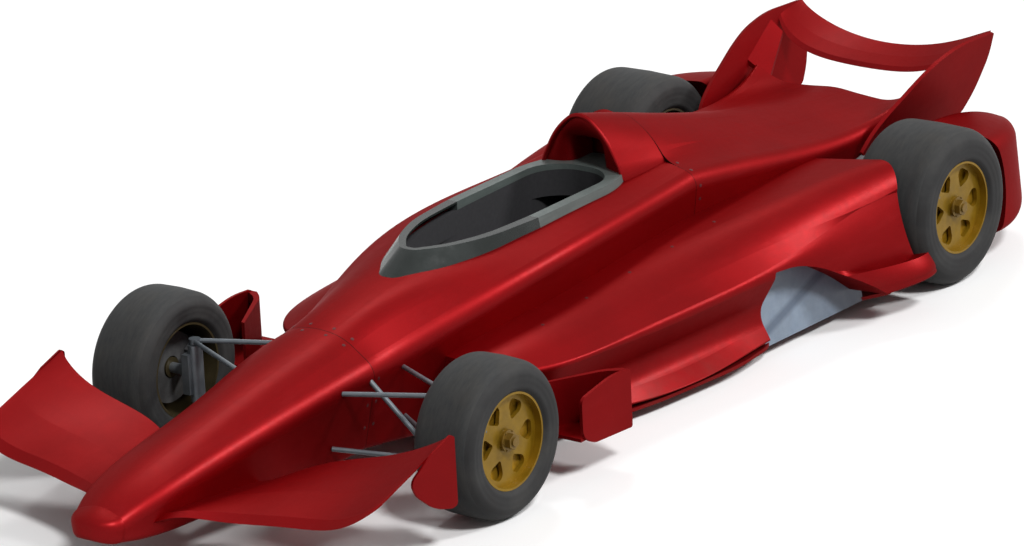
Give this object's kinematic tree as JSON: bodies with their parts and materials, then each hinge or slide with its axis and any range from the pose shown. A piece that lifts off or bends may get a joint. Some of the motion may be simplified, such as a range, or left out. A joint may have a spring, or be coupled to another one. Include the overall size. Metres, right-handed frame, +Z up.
{
  "type": "open wheel racing car",
  "caption": "Single-seat open-wheel racing car with winged nose, open cockpit, side pods, rear wing and steered front wheels.",
  "frame": {"origin": "middle of the overall length and width, on the ground under the tyres", "axes": "+X forward to the nose, +Y to the car's left, +Z up"},
  "size_m": [5.6004, 2.107, 1.0253],
  "materials": {
    "body_paint": "gloss",
    "screen": "satin",
    "collar": "satin",
    "seat_shell": "matte",
    "cockpit_trim": "matte",
    "engine": "cast",
    "gearbox_case": "cast",
    "floor_panel": "satin",
    "strake_panel": "satin",
    "arms": "satin",
    "uprights": "satin",
    "tyre": "matte",
    "rim": "satin gold"
  },
  "bodies": {
    "chassis": {"monocoque": "body_paint", "nose_cone": "body_paint", "front_wing": "body_paint", "front_endplate_left": "body_paint", "front_endplate_right": "body_paint", "engine_cover": "body_paint", "roll_hoop": "body_paint", "sidepod_left": "body_paint", "sidepod_right": "body_paint", "side_deflector_left": "body_paint", "side_deflector_right": "body_paint", "rear_wing": "body_paint", "rear_wing_pylon_left": "body_paint", "rear_wing_pylon_right": "body_paint", "rear_guard_left": "body_paint", "rear_guard_right": "body_paint", "windscreen": "screen", "cockpit_collar": "collar", "floor_strake_left": "strake_panel", "floor_strake_right": "strake_panel", "seat": "seat_shell", "dash": "cockpit_trim", "engine_block": "engine", "gearbox": "gearbox_case", "crash_structure": "gearbox_case", "floor": "floor_panel", "front_wishbones_left": "arms", "front_wishbones_right": "arms", "rear_wishbones_left": "arms", "rear_wishbones_right": "arms", "rear_upright_left": "uprights", "rear_upright_right": "uprights"},
    "knuckle_left": {"front_upright_left": "uprights"},
    "wheel_front_left": {"front_tyre_left": "tyre", "front_rim_left": "rim"},
    "wheel_rear_left": {"rear_tyre_left": "tyre", "rear_rim_left": "rim"},
    "knuckle_right": {"front_upright_right": "uprights"},
    "wheel_front_right": {"front_tyre_right": "tyre", "front_rim_right": "rim"},
    "wheel_rear_right": {"rear_tyre_right": "tyre", "rear_rim_right": "rim"},
    "helm": {"steering_wheel": "cockpit_trim"}
  },
  "joints": [
    {"name": "steer_left", "type": "hinge", "parent": "chassis", "child": "knuckle_left", "pos_m": [1.32, 0.655, 0.3277], "axis": [0, 0, 1], "range_deg": [-18, 18]},
    {"name": "steer_right", "type": "hinge", "parent": "chassis", "child": "knuckle_right", "pos_m": [1.32, -0.655, 0.3277], "axis": [0, 0, 1], "range_deg": [-18, 18]},
    {"name": "front_wheel_left_spin", "type": "hinge", "parent": "knuckle_left", "child": "wheel_front_left", "pos_m": [1.32, 0.83, 0.3277], "axis": [0, 1, 0], "continuous": true},
    {"name": "rear_wheel_left_spin", "type": "hinge", "parent": "chassis", "child": "wheel_rear_left", "pos_m": [-1.88, 0.7725, 0.343], "axis": [0, 1, 0], "continuous": true},
    {"name": "front_wheel_right_spin", "type": "hinge", "parent": "knuckle_right", "child": "wheel_front_right", "pos_m": [1.32, -0.83, 0.3277], "axis": [0, 1, 0], "continuous": true},
    {"name": "rear_wheel_right_spin", "type": "hinge", "parent": "chassis", "child": "wheel_rear_right", "pos_m": [-1.88, -0.7725, 0.343], "axis": [0, 1, 0], "continuous": true},
    {"name": "steering_wheel_turn", "type": "hinge", "parent": "chassis", "child": "helm", "pos_m": [0.2, 0, 0.59], "axis": [-0.9781, 0, 0.2079], "range_deg": [-150, 150]}
  ],
  "couplings": [
    {"joint": "steer_right", "follows": "steer_left", "ratio": 1},
    {"joint": "steering_wheel_turn", "follows": "steer_left", "ratio": 8}
  ]
}
